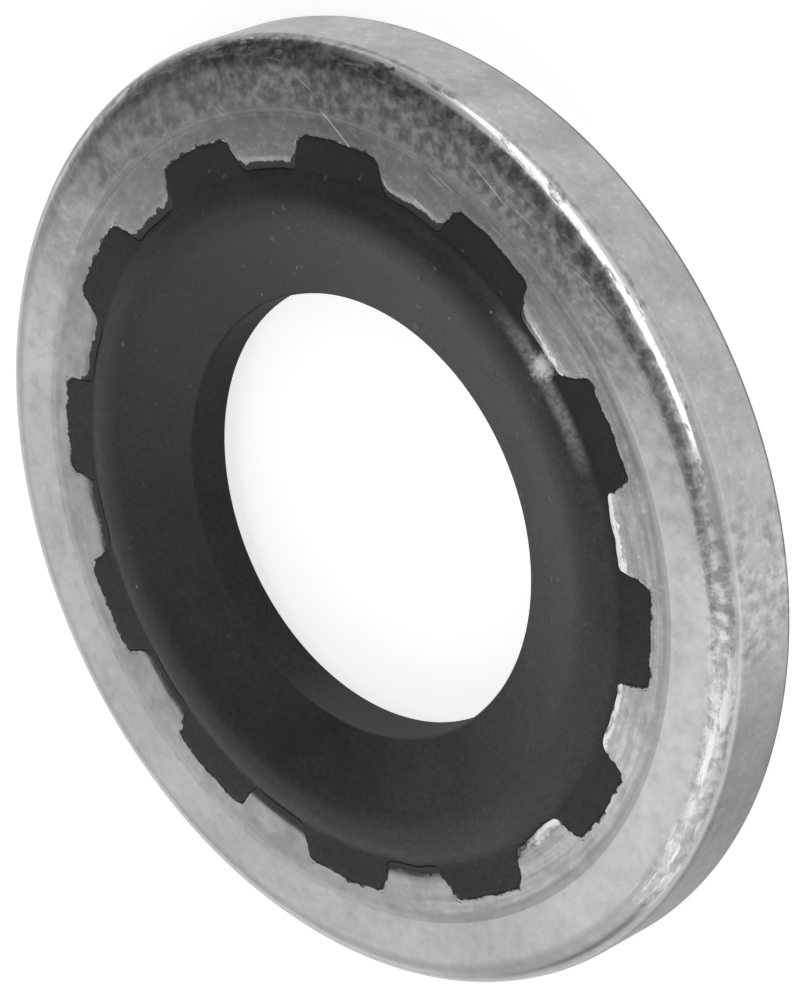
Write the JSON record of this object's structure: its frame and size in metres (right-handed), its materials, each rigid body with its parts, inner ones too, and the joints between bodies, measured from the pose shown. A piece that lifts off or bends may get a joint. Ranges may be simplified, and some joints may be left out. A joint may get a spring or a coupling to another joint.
{
  "type": "bonded sealing washer",
  "caption": "Flat steel ring with a rubber seal bonded into its notched bore; clamped between two flat faces, it seals a fluid port.",
  "frame": {"origin": "on the washer's axis, at the level of the surface that it lies on", "axes": "+Z is the washer's axis, towards the side whose outer edge is rolled over; +X runs through the middle of one notch"},
  "size_m": [0.027, 0.027, 0.0029],
  "materials": {
    "steel": "tumbled and plated, dull silver-grey, darker where the edge is rolled over",
    "rubber": "moulded black rubber, satin"
  },
  "bodies": {
    "root": {"metal_ring": "steel", "rubber_seal": "rubber"}
  },
  "joints": []
}
